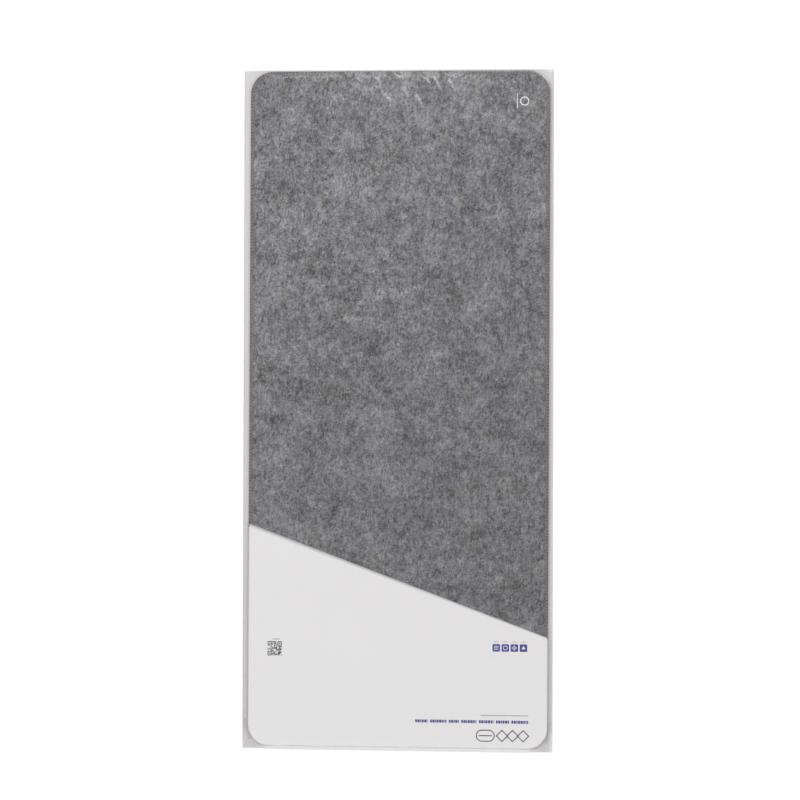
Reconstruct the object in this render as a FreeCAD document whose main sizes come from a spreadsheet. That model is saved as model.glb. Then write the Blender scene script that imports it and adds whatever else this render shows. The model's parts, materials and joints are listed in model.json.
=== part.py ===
import FreeCAD, Part
import math
import os
import Sketcher

# A felt desk mat as it is sold: the mat, a printed board card lying on its front end and
# the clear film bag around both.
#
# Frame, in millimetres: +X runs along the mat to the bag's mouth, +Z up from the desk, and
# the origin is under the middle of the whole packed object, at desk level.
# "Near" is the -Y long side and "far" the +Y long side.

DIMENSIONS = {
    # the mat
    "mat_length": 900.0,
    "mat_width": 400.0,
    "corner_radius": 30.0,
    "rubber_thickness": 1.8,
    "bond_thickness": 0.2,
    "felt_thickness": 2.0,
    # the overlocked edge: two looper threads wrap the rim, a needle thread pins them
    "thread_thickness": 0.4,
    "looper_width": 4.0,
    "needle_width": 0.6,
    # the mark printed in one corner of the felt
    "mark_thickness": 0.08,
    "mark_from_end": 41.0,
    "mark_from_far_side": 34.3,
    "mark_ring_radius": 6.0,
    "mark_ring_band": 1.3,
    "mark_bar_length": 20.0,
    "mark_bar_width": 1.0,
    "mark_bar_offset": 9.5,
    # the insert card, cut off at a slant
    "card_thickness": 0.4,
    "card_width": 399.4,
    "card_near_side": 296.4,
    "card_far_side": 147.8,
    "card_corner_radius": 28.0,
    "card_tip_radius": 1.5,
    "card_gap": 0.15,
    # the bag
    "film_thickness": 0.1,
    "slip_gap": 0.05,
    "bag_width": 413.6,
    "mat_side_shift": 1.4,
    "end_margin": 2.0,
    "mouth_margin": 4.6,
    "shoulder_near": 1.0,
    "shoulder_far": 0.7,
    "shoulder_front": 1.0,
    "weld_width": 1.5,
    # the lip that folds under the mouth and sticks to the back
    "lip_length": 40.0,
    "lip_side_inset": 1.0,
    "adhesive_thickness": 0.1,
    "adhesive_width": 20.0,
    "adhesive_setback": 12.0,
    "adhesive_side_inset": 6.0,
    "pocket_length": 44.0,
    "pocket_side_inset": 2.5,
    "crease_gap": 0.05,
}

FILM = "dims.film_thickness"
THREAD = "dims.thread_thickness"

# heights above the desk; the back film steps up over the lip and its adhesive
POCKET_Z = "(dims.film_thickness + dims.adhesive_thickness)"
POCKET_TOP = f"({POCKET_Z} + {FILM})"
MAT_Z = f"({POCKET_TOP} + dims.slip_gap)"
RUBBER_TOP = "dims.rubber_thickness"
FELT_BOTTOM = "(dims.rubber_thickness + dims.bond_thickness)"
MAT_THICKNESS = f"({FELT_BOTTOM} + dims.felt_thickness)"
RIM_TOP = f"({MAT_THICKNESS} - {THREAD})"
RIM_MIDDLE = f"({MAT_THICKNESS} / 2)"
CARD_Z = f"({MAT_Z} + {MAT_THICKNESS} + dims.card_gap)"
FRONT_Z = f"({CARD_Z} + dims.card_thickness + dims.slip_gap)"
BAG_TOP = f"({FRONT_Z} + {FILM})"

# places along the bag
BAG_LENGTH = f"(dims.mat_length + dims.end_margin + dims.mouth_margin + {FILM})"
INNER_END_X = f"({FILM} - {BAG_LENGTH} / 2)"
MAT_X = f"({INNER_END_X} + dims.end_margin + dims.mat_length / 2)"
MOUTH_X = f"({BAG_LENGTH} / 2)"
FRONT_SHOULDER_X = f"({MAT_X} + dims.mat_length / 2 + dims.shoulder_front)"

# places across the bag
NEAR_Y = "(-dims.bag_width / 2)"
FAR_Y = "(dims.bag_width / 2)"
NEAR_WELD_Y = f"({NEAR_Y} + dims.weld_width)"
FAR_WELD_Y = f"({FAR_Y} - dims.weld_width)"
NEAR_SHOULDER_Y = "(dims.mat_side_shift - dims.mat_width / 2 - dims.shoulder_near)"
FAR_SHOULDER_Y = "(dims.mat_side_shift + dims.mat_width / 2 + dims.shoulder_far)"

doc = FreeCAD.newDocument("DeskMat")
sheet = doc.addObject("Spreadsheet::Sheet", "dims")


def fill_sheet():
    for row, (alias, value) in enumerate(DIMENSIONS.items(), start=1):
        sheet.set(f"A{row}", alias)
        sheet.set(f"B{row}", str(value))
        sheet.setAlias(f"B{row}", alias)
    doc.recompute()


def number(expression):
    """The value of an expression in the sheet's dimensions."""
    return float(sheet.evalExpression(expression))


def new_body(name):
    body = doc.addObject("PartDesign::Body", name)
    body.Label = name
    return body


def new_sketch(body, name, plane_role="XY_Plane", lift="0"):
    sketch = body.newObject("Sketcher::SketchObject", name)
    planes = {feature.Role: feature for feature in body.Origin.OriginFeatures}
    sketch.AttachmentSupport = [(planes[plane_role], "")]
    sketch.MapMode = "FlatFace"
    sketch.setExpression("AttachmentOffset.Base.z", lift)
    return sketch


def hold(sketch, kind, places, expression):
    """A driving constraint whose value follows an expression."""
    constraint = Sketcher.Constraint(kind, *places, number(expression))
    index = sketch.addConstraint(constraint)
    sketch.setExpression(f"Constraints[{index}]", expression)


def draw_polygon(sketch, corners):
    """A closed outline; each corner is a pair of expressions, held from the origin."""
    points = [FreeCAD.Vector(number(x), number(y), 0) for x, y in corners]
    first = sketch.GeometryCount
    count = len(points)
    for i in range(count):
        sketch.addGeometry(Part.LineSegment(points[i], points[(i + 1) % count]))
    for i in range(count):
        this_line = first + i
        next_line = first + (i + 1) % count
        sketch.addConstraint(Sketcher.Constraint("Coincident", this_line, 2, next_line, 1))
    for i, (x, y) in enumerate(corners):
        hold(sketch, "DistanceX", (first + i, 1), x)
        hold(sketch, "DistanceY", (first + i, 1), y)


def draw_rounded_rectangle(sketch, length, width, radius):
    """A rectangle about the sketch's origin with four equal round corners."""
    half_x = number(length) / 2
    half_y = number(width) / 2
    r = number(radius)
    first = sketch.GeometryCount
    quarter = math.pi / 2
    corner_signs = [(1, 1), (-1, 1), (-1, -1), (1, -1)]
    centres = [
        FreeCAD.Vector(sx * (half_x - r), sy * (half_y - r), 0) for sx, sy in corner_signs
    ]
    up = FreeCAD.Vector(0, 0, 1)
    for i, centre in enumerate(centres):
        circle = Part.Circle(centre, up, r)
        sketch.addGeometry(Part.ArcOfCircle(circle, i * quarter, (i + 1) * quarter))
    for i, centre in enumerate(centres):
        outward = FreeCAD.Vector(0, r, 0) if i % 2 == 0 else FreeCAD.Vector(-r, 0, 0)
        if i >= 2:
            outward = -outward
        other = centres[(i + 1) % 4]
        sketch.addGeometry(Part.LineSegment(centre + outward, other + outward))
    for i in range(4):
        arc = first + i
        line = first + 4 + i
        next_arc = first + (i + 1) % 4
        sketch.addConstraint(Sketcher.Constraint("Tangent", arc, 2, line, 1))
        sketch.addConstraint(Sketcher.Constraint("Tangent", line, 2, next_arc, 1))
        direction = "Horizontal" if i % 2 == 0 else "Vertical"
        sketch.addConstraint(Sketcher.Constraint(direction, line))
        if i:
            sketch.addConstraint(Sketcher.Constraint("Equal", first, arc))
    hold(sketch, "Radius", (first,), radius)
    hold(sketch, "DistanceY", (first + 4, 1), f"({width}) / 2")
    hold(sketch, "DistanceX", (first + 5, 1), f"-({length}) / 2")
    hold(sketch, "DistanceY", (first + 6, 1), f"-({width}) / 2")
    hold(sketch, "DistanceX", (first + 7, 1), f"({length}) / 2")


def pad(body, sketch, name, length):
    feature = body.newObject("PartDesign::Pad", name)
    feature.Profile = sketch
    feature.setExpression("Length", length)
    return feature


def place(item, x="0", y="0", z="0"):
    for axis, expression in (("x", x), ("y", y), ("z", z)):
        item.setExpression(f"Placement.Base.{axis}", expression)


def place_on_mat(item, z=MAT_Z):
    """The mat lies in the bag a little towards the far side and the closed end."""
    place(item, MAT_X, "dims.mat_side_shift", z)


# ---- the mat -------------------------------------------------------------------------------


def mat_layer(body, name, outer_inset, start, thickness, inner_inset=None):
    """A slab with the mat's outline, or a ring along its rim, between two heights."""
    sketch = new_sketch(body, f"{name}_outline", lift=start)
    for inset in (outer_inset, inner_inset):
        if inset is not None:
            draw_rounded_rectangle(
                sketch,
                f"(dims.mat_length - 2 * {inset})",
                f"(dims.mat_width - 2 * {inset})",
                f"(dims.corner_radius - {inset})",
            )
    return pad(body, sketch, name, thickness)


def make_rubber_base():
    """Non-slip backing; its lower edge is stepped to take the lower looper thread."""
    body = new_body("rubber_base")
    mat_layer(body, "grip_face", "dims.looper_width", "0", THREAD)
    mat_layer(body, "backing", THREAD, THREAD, f"{RUBBER_TOP} - {THREAD}")
    place_on_mat(body)
    return body


def make_bonding_film():
    body = new_body("bonding_film")
    mat_layer(body, "bond", THREAD, RUBBER_TOP, "dims.bond_thickness")
    place_on_mat(body)
    return body


def make_felt_top():
    """Pressed felt; its upper edge is stepped to take the rim's threads."""
    body = new_body("felt_top")
    mat_layer(body, "felt_core", THREAD, FELT_BOTTOM, f"{RIM_TOP} - {FELT_BOTTOM}")
    stitched = "(dims.looper_width + dims.needle_width)"
    mat_layer(body, "felt_face", stitched, RIM_TOP, THREAD)
    place_on_mat(body)
    return body


def make_needle_thread():
    """The row of needle stitches just inside the looper band."""
    body = new_body("needle_thread")
    stitched = "(dims.looper_width + dims.needle_width)"
    mat_layer(body, "needle_row", "dims.looper_width", RIM_TOP, THREAD, stitched)
    place_on_mat(body)
    return body


def make_upper_looper_thread():
    """Covers the rim's upper face and the upper half of its edge."""
    body = new_body("upper_looper_thread")
    mat_layer(body, "upper_band", "0", RIM_TOP, THREAD, "dims.looper_width")
    mat_layer(body, "upper_edge", "0", RIM_MIDDLE, f"{RIM_TOP} - {RIM_MIDDLE}", THREAD)
    place_on_mat(body)
    return body


def make_lower_looper_thread():
    """Covers the rim's lower face and the lower half of its edge."""
    body = new_body("lower_looper_thread")
    mat_layer(body, "lower_band", "0", "0", THREAD, "dims.looper_width")
    mat_layer(body, "lower_edge", "0", THREAD, f"{RIM_MIDDLE} - {THREAD}", THREAD)
    place_on_mat(body)
    return body


def make_corner_mark():
    """A plain ring over a plain bar, printed on the felt."""
    ring_x = "(dims.mark_from_end - dims.mat_length / 2)"
    ring_y = "(dims.mat_width / 2 - dims.mark_from_far_side)"
    disc = doc.addObject("Part::Cylinder", "mark_disc")
    disc.setExpression("Radius", "dims.mark_ring_radius")
    disc.setExpression("Height", "dims.mark_thickness")
    place(disc, ring_x, ring_y)
    hole = doc.addObject("Part::Cylinder", "mark_hole")
    hole.setExpression("Radius", "dims.mark_ring_radius - dims.mark_ring_band")
    hole.setExpression("Height", "dims.mark_thickness")
    place(hole, ring_x, ring_y)
    ring = doc.addObject("Part::Cut", "mark_ring")
    ring.Base = disc
    ring.Tool = hole
    bar = doc.addObject("Part::Box", "mark_bar")
    bar.setExpression("Length", "dims.mark_bar_length")
    bar.setExpression("Width", "dims.mark_bar_width")
    bar.setExpression("Height", "dims.mark_thickness")
    place(
        bar,
        f"{ring_x} - dims.mark_bar_length / 2",
        f"{ring_y} - dims.mark_bar_offset - dims.mark_bar_width / 2",
    )
    mark = doc.addObject("Part::Fuse", "corner_mark")
    mark.Base = ring
    mark.Tool = bar
    mark.Label = "corner_mark"
    place_on_mat(mark, f"{MAT_Z} + {MAT_THICKNESS}")
    return mark


# ---- the card ------------------------------------------------------------------------------


def upright_edges(shape, x, y):
    """Names of the vertical edges that pass through one place in plan."""
    names = []
    for index, edge in enumerate(shape.Edges, start=1):
        ends = [vertex.Point for vertex in edge.Vertexes]
        if all(abs(p.x - x) < 0.01 and abs(p.y - y) < 0.01 for p in ends):
            names.append(f"Edge{index}")
    return names


def round_corners(body, base, name, corners, radius):
    shape = base.Shape
    edges = []
    for x, y in corners:
        edges += upright_edges(shape, number(x), number(y))
    fillet = body.newObject("PartDesign::Fillet", name)
    fillet.Base = (base, edges)
    fillet.setExpression("Radius", radius)
    doc.recompute()
    return fillet


def make_insert_card():
    """Board with a slanted back edge; its front corners follow the mat's."""
    body = new_body("insert_card")
    sketch = new_sketch(body, "card_outline")
    front_x = "(dims.mat_length / 2)"
    near_y = "(-dims.card_width / 2)"
    far_y = "(dims.card_width / 2)"
    tip = (f"({front_x} - dims.card_far_side)", far_y)
    corners = [(f"({front_x} - dims.card_near_side)", near_y), (front_x, near_y), (front_x, far_y), tip]
    draw_polygon(sketch, corners)
    board = pad(body, sketch, "board", "dims.card_thickness")
    doc.recompute()
    rounded = round_corners(body, board, "front_corners", corners[1:3], "dims.card_corner_radius")
    round_corners(body, rounded, "tip_corner", [tip], "dims.card_tip_radius")
    place_on_mat(body, CARD_Z)
    return body


# ---- the bag -------------------------------------------------------------------------------


def behind_mouth(back="dims.crease_gap"):
    """X at one distance behind the mouth's crease."""
    return f"({MOUTH_X} - {back})"


def make_bag_front_film():
    """Flat over the mat and card, and a little past the mat's front end."""
    body = new_body("bag_front_film")
    sketch = new_sketch(body, "front_outline")
    corners = [
        (INNER_END_X, NEAR_SHOULDER_Y),
        (FRONT_SHOULDER_X, NEAR_SHOULDER_Y),
        (FRONT_SHOULDER_X, FAR_SHOULDER_Y),
        (INNER_END_X, FAR_SHOULDER_Y),
    ]
    draw_polygon(sketch, corners)
    pad(body, sketch, "front_panel", FILM)
    place(body, z=FRONT_Z)
    return body


def mouth_strip(body, name, start_back, end_back, lift, thickness):
    """A strip of film along the mouth, clear of the side welds."""
    near = f"({NEAR_Y} + dims.pocket_side_inset)"
    far = f"({FAR_Y} - dims.pocket_side_inset)"
    sketch = new_sketch(body, f"{name}_outline", lift=lift)
    corners = [
        (behind_mouth(start_back), near),
        (behind_mouth(end_back), near),
        (behind_mouth(end_back), far),
        (behind_mouth(start_back), far),
    ]
    draw_polygon(sketch, corners)
    return pad(body, sketch, name, thickness)


def make_bag_back_film():
    """Flat on the desk, and stepped up over the folded lip near the mouth."""
    body = new_body("bag_back_film")
    step = "dims.pocket_length"
    sketch = new_sketch(body, "back_outline")
    corners = [
        (INNER_END_X, NEAR_Y),
        (behind_mouth(step), NEAR_Y),
        (behind_mouth(step), FAR_Y),
        (INNER_END_X, FAR_Y),
    ]
    draw_polygon(sketch, corners)
    pad(body, sketch, "back_panel", FILM)
    riser_start = f"({step} + 2 * {FILM})"
    mouth_strip(body, "riser", riser_start, step, FILM, POCKET_Z)
    mouth_strip(body, "pocket_roof", step, "dims.crease_gap", POCKET_Z, FILM)
    return body


def make_side_seam(name, side, edge_y, weld_y, shoulder_y, end_x):
    """The sloping side of the front film, down to where it is welded to the back film."""
    body = new_body(name)
    sketch = new_sketch(body, "seam_section", "YZ_Plane")
    corners = [
        (edge_y, FILM),
        (edge_y, f"2 * {FILM}"),
        (weld_y, f"2 * {FILM}"),
        (f"({shoulder_y} + {side} * {FILM})", BAG_TOP),
        (shoulder_y, BAG_TOP),
        (shoulder_y, FRONT_Z),
        (f"({weld_y} - {side} * {FILM})", FILM),
    ]
    draw_polygon(sketch, corners)
    pad(body, sketch, "seam", f"{end_x} - {INNER_END_X}")
    place(body, x=INNER_END_X)
    return body


def make_bag_end_fold():
    """The closed end, where the front and back film are one folded sheet."""
    body = new_body("bag_end_fold")
    sketch = new_sketch(body, "end_section", "YZ_Plane")
    corners = [
        (NEAR_Y, "0"),
        (FAR_Y, "0"),
        (FAR_Y, f"2 * {FILM}"),
        (FAR_WELD_Y, f"2 * {FILM}"),
        (f"({FAR_SHOULDER_Y} + {FILM})", BAG_TOP),
        (f"({NEAR_SHOULDER_Y} - {FILM})", BAG_TOP),
        (NEAR_WELD_Y, f"2 * {FILM}"),
        (NEAR_Y, f"2 * {FILM}"),
    ]
    draw_polygon(sketch, corners)
    pad(body, sketch, "end_panel", FILM)
    place(body, x=f"{INNER_END_X} - {FILM}")
    return body


def make_bag_mouth_film():
    """The front film from the mat's front end down to the mouth's crease."""
    body = new_body("bag_mouth_film")
    sketch = new_sketch(body, "slope_section", "XZ_Plane", lift=f"-{FAR_SHOULDER_Y}")
    crease_x = behind_mouth()
    corners = [
        (FRONT_SHOULDER_X, FRONT_Z),
        (FRONT_SHOULDER_X, BAG_TOP),
        (f"({FRONT_SHOULDER_X} + {FILM})", BAG_TOP),
        (crease_x, f"({POCKET_TOP} + {FILM})"),
        (crease_x, POCKET_TOP),
        (f"({crease_x} - {FILM})", POCKET_TOP),
    ]
    draw_polygon(sketch, corners)
    pad(body, sketch, "slope", f"{FAR_SHOULDER_Y} - {NEAR_SHOULDER_Y}")
    return body


# ---- the lip that closes the mouth ---------------------------------------------------------


def lip_strip(name, label, start, end, side_inset, lift, thickness):
    body = new_body(label)
    sketch = new_sketch(body, f"{name}_outline", lift=lift)
    near = f"({NEAR_Y} + {side_inset})"
    far = f"({FAR_Y} - {side_inset})"
    draw_polygon(sketch, [(start, near), (end, near), (end, far), (start, far)])
    pad(body, sketch, name, thickness)
    place(body, x=MOUTH_X)
    return body


def make_bag_lip():
    """Folded under the mouth, against the back of the bag."""
    return lip_strip(
        "lip_panel",
        "bag_lip",
        "(-dims.lip_length)",
        "0",
        "dims.lip_side_inset",
        "0",
        FILM,
    )


def make_adhesive_strip():
    """Re-sealable adhesive between the lip and the back film."""
    return lip_strip(
        "adhesive",
        "adhesive_strip",
        "(-dims.adhesive_setback - dims.adhesive_width)",
        "(-dims.adhesive_setback)",
        "dims.adhesive_side_inset",
        FILM,
        "dims.adhesive_thickness",
    )


# ---- check and write -----------------------------------------------------------------------


def check_and_write(items):
    doc.recompute()
    for item in doc.Objects:
        if "Invalid" in item.State or "Error" in item.State:
            raise RuntimeError(f"{item.Name} failed: {item.State}")
    os.makedirs("parts", exist_ok=True)
    for item in items:
        shape = item.Shape
        if shape.isNull() or not shape.isValid() or shape.Volume <= 0:
            raise RuntimeError(f"{item.Label} has no valid solid")
        box = shape.BoundBox
        print(
            f"{item.Label:22s} solids {len(shape.Solids)}  volume {shape.Volume:12.2f} mm3  "
            f"X {box.XMin:8.2f} {box.XMax:8.2f}  Y {box.YMin:8.2f} {box.YMax:8.2f}  "
            f"Z {box.ZMin:6.2f} {box.ZMax:6.2f}"
        )
        shape.exportStep(os.path.join("parts", f"{item.Label}.step"))


def main():
    fill_sheet()
    seam_end = behind_mouth()
    items = [
        make_rubber_base(),
        make_bonding_film(),
        make_felt_top(),
        make_needle_thread(),
        make_upper_looper_thread(),
        make_lower_looper_thread(),
        make_corner_mark(),
        make_insert_card(),
        make_bag_front_film(),
        make_bag_back_film(),
        make_side_seam("bag_near_seam", "-1", NEAR_Y, NEAR_WELD_Y, NEAR_SHOULDER_Y, seam_end),
        make_side_seam("bag_far_seam", "1", FAR_Y, FAR_WELD_Y, FAR_SHOULDER_Y, seam_end),
        make_bag_end_fold(),
        make_bag_mouth_film(),
        make_bag_lip(),
        make_adhesive_strip(),
    ]
    check_and_write(items)


main()
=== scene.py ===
import json
import math

import bpy
import numpy as np
from mathutils import Matrix, Vector


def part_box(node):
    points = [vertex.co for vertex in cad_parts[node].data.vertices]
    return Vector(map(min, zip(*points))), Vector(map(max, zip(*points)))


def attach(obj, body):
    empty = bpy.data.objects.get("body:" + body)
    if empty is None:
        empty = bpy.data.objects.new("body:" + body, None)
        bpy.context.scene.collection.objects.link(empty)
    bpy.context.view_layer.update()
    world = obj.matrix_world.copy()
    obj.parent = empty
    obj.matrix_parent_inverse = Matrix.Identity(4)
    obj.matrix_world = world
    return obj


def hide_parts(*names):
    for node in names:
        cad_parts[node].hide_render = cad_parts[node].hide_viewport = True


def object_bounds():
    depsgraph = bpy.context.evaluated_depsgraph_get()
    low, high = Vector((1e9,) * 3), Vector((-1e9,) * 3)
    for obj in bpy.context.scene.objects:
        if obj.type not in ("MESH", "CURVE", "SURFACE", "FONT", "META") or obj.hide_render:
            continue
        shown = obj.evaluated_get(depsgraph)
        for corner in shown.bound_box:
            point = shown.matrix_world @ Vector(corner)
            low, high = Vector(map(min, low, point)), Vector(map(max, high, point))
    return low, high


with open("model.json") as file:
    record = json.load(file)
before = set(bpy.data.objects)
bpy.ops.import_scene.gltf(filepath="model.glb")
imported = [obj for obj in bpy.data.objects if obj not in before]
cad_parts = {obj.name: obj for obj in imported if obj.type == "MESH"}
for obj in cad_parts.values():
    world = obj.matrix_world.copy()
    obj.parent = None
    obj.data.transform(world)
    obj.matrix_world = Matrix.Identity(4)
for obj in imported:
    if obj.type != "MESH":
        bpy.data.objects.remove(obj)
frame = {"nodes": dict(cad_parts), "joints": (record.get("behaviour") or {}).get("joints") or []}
cad_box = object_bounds()

MM = 0.001  # metres in one millimetre
rng = np.random.default_rng(7)


def cad(node):
    """A CAD node's lowest and highest corner in millimetres."""
    low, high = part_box(node)
    return np.array(low) / MM, np.array(high) / MM


# ---- sizes from the frame, in millimetres ----

mat_low, mat_high = cad("upper_looper_thread")
MAT_CENTRE = (mat_low + mat_high)[:2] / 2
MAT_HALF = (mat_high - mat_low)[:2] / 2
MAT_CLOSED_X, MAT_NEAR_Y = MAT_CENTRE - MAT_HALF
MAT_FRONT_X, MAT_FAR_Y = MAT_CENTRE + MAT_HALF
MAT_RADIUS = 30.0
rubber_low, rubber_high = cad("rubber_base")
felt_low, felt_high = cad("felt_top")
MAT_BOTTOM = rubber_low[2]
RUBBER_TOP = rubber_high[2]
FELT_BOTTOM = felt_low[2]
FELT_TOP = felt_high[2]
MAT_MIDDLE = (MAT_BOTTOM + FELT_TOP) / 2
CORE_INSET = felt_low[0] - mat_low[0]

card_low, card_high = cad("insert_card")
CARD_RADIUS = 28.0
CARD_FAR_SIDE = 147.8

bag_low, bag_high = np.array(cad_box[0]) / MM, np.array(cad_box[1]) / MM
BAG_CLOSED_X = bag_low[0]
BAG_NEAR_Y = bag_low[1]
BAG_FAR_Y = bag_high[1]

BAG_SKEW = 0.0023  # the slope that the bag is turned by on the mat
lip_joint = next(j for j in frame["joints"] if j["name"] == "lip_crease")
CREASE_X, _, CREASE_Z = np.array(lip_joint["pos_m"]) / MM
LIP_LENGTH = 40.0
POCKET_LENGTH = 44.0


def on_mat(x, y):
    """A place given from the mat's centre."""
    return MAT_CENTRE[0] + x, MAT_CENTRE[1] + y


def skewed(x, y):
    """Y on the bag, which was slipped over the mat a little askew."""
    return y + BAG_SKEW * x


# ---- mesh helpers ----


def make_object(name, points, faces, smooth=True):
    """A mesh object from points in millimetres."""
    mesh = bpy.data.meshes.new(name)
    mesh.from_pydata((np.asarray(points, float) * MM).tolist(), [], faces)
    mesh.validate()
    mesh.polygons.foreach_set("use_smooth", [smooth] * len(mesh.polygons))
    mesh.update()
    obj = bpy.data.objects.new(name, mesh)
    bpy.context.scene.collection.objects.link(obj)
    return obj


def join_parts(parts):
    """One list of points and faces from several."""
    points, faces, start = [], [], 0
    for part_points, part_faces in parts:
        points.append(np.asarray(part_points, float))
        faces += [tuple(start + i for i in face) for face in part_faces]
        start += len(part_points)
    return np.concatenate(points), faces


def grid_points(x, y, z):
    """A grid's points, one to a row."""
    return np.column_stack((x.ravel(), y.ravel(), z.ravel()))


def grid_faces(rows, columns, flip=False):
    """Quads over a grid, facing up where X runs down its rows and Y along them."""
    index = np.arange(rows * columns).reshape(rows, columns)
    a = index[:-1, :-1].ravel()
    b = index[1:, :-1].ravel()
    c = index[1:, 1:].ravel()
    d = index[:-1, 1:].ravel()
    order = (a, d, c, b) if flip else (a, b, c, d)
    return np.stack(order, axis=1).tolist()


def border(rows, columns):
    """The indices round a grid, in order."""
    index = np.arange(rows * columns).reshape(rows, columns)
    sides = (index[:-1, 0], index[-1, :-1], index[:0:-1, -1], index[0, :0:-1])
    return np.concatenate(sides).tolist()


def loop_faces(first, second):
    """Quads between two closed loops of as many points."""
    after = [*range(1, len(first)), 0]
    return [(first[i], first[j], second[j], second[i]) for i, j in enumerate(after)]


def grid_lines(half, spacing, insets):
    """Positions across a sheet: set distances in from both edges, then even steps."""
    inner = half - max(insets)
    count = max(2, int(round(2 * inner / spacing)))
    middle = np.linspace(-inner, inner, count + 1)
    edge = [half - i for i in sorted(insets)][:-1]
    return np.concatenate([-np.array(edge), middle, np.array(edge[::-1])])


def quarter_disc(a, b):
    """For places in a corner square: which are in it, how far out they go, and at what angle."""
    corner = (a > 0) & (b > 0)
    with np.errstate(divide="ignore", invalid="ignore"):
        angle = np.where(a >= b, b / a, 2 - a / b) * math.pi / 4
    return corner, np.maximum(a, b), np.where(corner, angle, 0.0)


def round_corners(x, y, half, radius):
    """Bends a rectangle's corner squares into quarter discs, and says how far in each point is."""
    a = (np.abs(x) - (half[0] - radius)) / radius
    b = (np.abs(y) - (half[1] - radius)) / radius
    corner, largest, angle = quarter_disc(a, b)
    round_x = np.sign(x) * (half[0] - radius + radius * largest * np.cos(angle))
    round_y = np.sign(y) * (half[1] - radius + radius * largest * np.sin(angle))
    inset = np.minimum(half[0] - np.abs(x), half[1] - np.abs(y))
    inset = np.where(corner, radius * (1 - largest), inset)
    return np.where(corner, round_x, x), np.where(corner, round_y, y), inset


def smooth_noise(x, y, wavelength, seed):
    """Even, soft noise from -1 to 1, the same each run."""
    source = np.random.default_rng(seed)
    columns = 64
    table = source.uniform(-1, 1, (columns, columns))
    u, v = x / wavelength + 17.3, y / wavelength + 5.1
    i, j = np.floor(u).astype(int), np.floor(v).astype(int)
    fu, fv = u - i, v - j
    fu, fv = fu * fu * (3 - 2 * fu), fv * fv * (3 - 2 * fv)
    i0, j0, i1, j1 = i % columns, j % columns, (i + 1) % columns, (j + 1) % columns
    low = table[i0, j0] * (1 - fu) + table[i1, j0] * fu
    high = table[i0, j1] * (1 - fu) + table[i1, j1] * fu
    return low * (1 - fv) + high * fv


def smoothstep(low, high, value):
    """Rises smoothly from 0 to 1 between two values."""
    t = np.clip((value - low) / (high - low), 0, 1)
    return t * t * (3 - 2 * t)


def tube(path, radius, sides, closed=True):
    """Points and faces of a round tube along a path, with its frame carried along."""
    path = np.asarray(path, float)
    count = len(path)
    ahead = np.roll(path, -1, axis=0) - path
    behind = path - np.roll(path, 1, axis=0)
    if not closed:
        ahead[-1] = behind[-1]
        behind[0] = ahead[0]
    tangent = ahead + behind
    tangent /= np.linalg.norm(tangent, axis=1)[:, None]
    normal = np.zeros_like(path)
    current = np.cross(tangent[0], (0.0, 0.0, 1.0))
    if np.linalg.norm(current) < 0.1:
        current = np.cross(tangent[0], (1.0, 0.0, 0.0))
    for i in range(count):
        current = current - tangent[i] * current.dot(tangent[i])
        current /= math.sqrt(current.dot(current))
        normal[i] = current
    binormal = np.cross(tangent, normal)
    turns = (np.arange(sides) * 2 * math.pi / sides)[None, :, None]
    around = normal[:, None, :] * np.cos(turns) + binormal[:, None, :] * np.sin(turns)
    points = (path[:, None, :] + around * np.reshape(radius, (-1, 1, 1))).reshape(-1, 3)
    index = np.arange(count * sides).reshape(count, sides)
    here = index if closed else index[:-1]
    after = np.roll(index, -1, axis=0) if closed else index[1:]
    quads = np.stack(
        (here, np.roll(here, -1, axis=1), np.roll(after, -1, axis=1), after), axis=-1
    )
    faces = quads.reshape(-1, 4).tolist()
    if not closed:
        faces.append(index[0][::-1].tolist())
        faces.append(index[-1].tolist())
    return points, faces


def plate(outline, low, high):
    """A flat prism with any outline, between two heights."""
    outline = np.asarray(outline, float)
    count = len(outline)
    bottom = np.column_stack((outline, np.full(count, low)))
    top = np.column_stack((outline, np.full(count, high)))
    lower, upper = range(count), range(count, 2 * count)
    faces = [tuple(reversed(lower)), tuple(upper), *loop_faces(lower, upper)]
    return np.concatenate((bottom, top)), faces


def band(outer, inner, low, high):
    """A flat ring between two outlines of as many points."""
    count = len(outer)
    points = []
    for outline, height in ((outer, low), (outer, high), (inner, high), (inner, low)):
        points.append(np.column_stack((np.asarray(outline, float), np.full(count, height))))
    faces = []
    for a, b in ((0, 1), (1, 2), (2, 3), (3, 0)):
        faces += loop_faces(
            range(a * count, (a + 1) * count), range(b * count, (b + 1) * count)
        )
    return np.concatenate(points), faces


def rounded_box(x, y, length, width, radius, steps=4):
    """A rounded rectangle's outline about a centre."""
    outline = []
    for quarter in range(4):
        cx = x + (1 if quarter in (0, 3) else -1) * (length / 2 - radius)
        cy = y + (1 if quarter in (0, 1) else -1) * (width / 2 - radius)
        for step in range(steps + 1):
            angle = (quarter + step / steps) * math.pi / 2
            outline.append((cx + radius * math.cos(angle), cy + radius * math.sin(angle)))
    return outline


def polygon(x, y, radius, count, turn=0.0):
    """A regular polygon's outline about a centre."""
    angles = turn + np.arange(count) * 2 * math.pi / count
    return np.column_stack((x + radius * np.cos(angles), y + radius * np.sin(angles)))


# ---- materials ----


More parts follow.
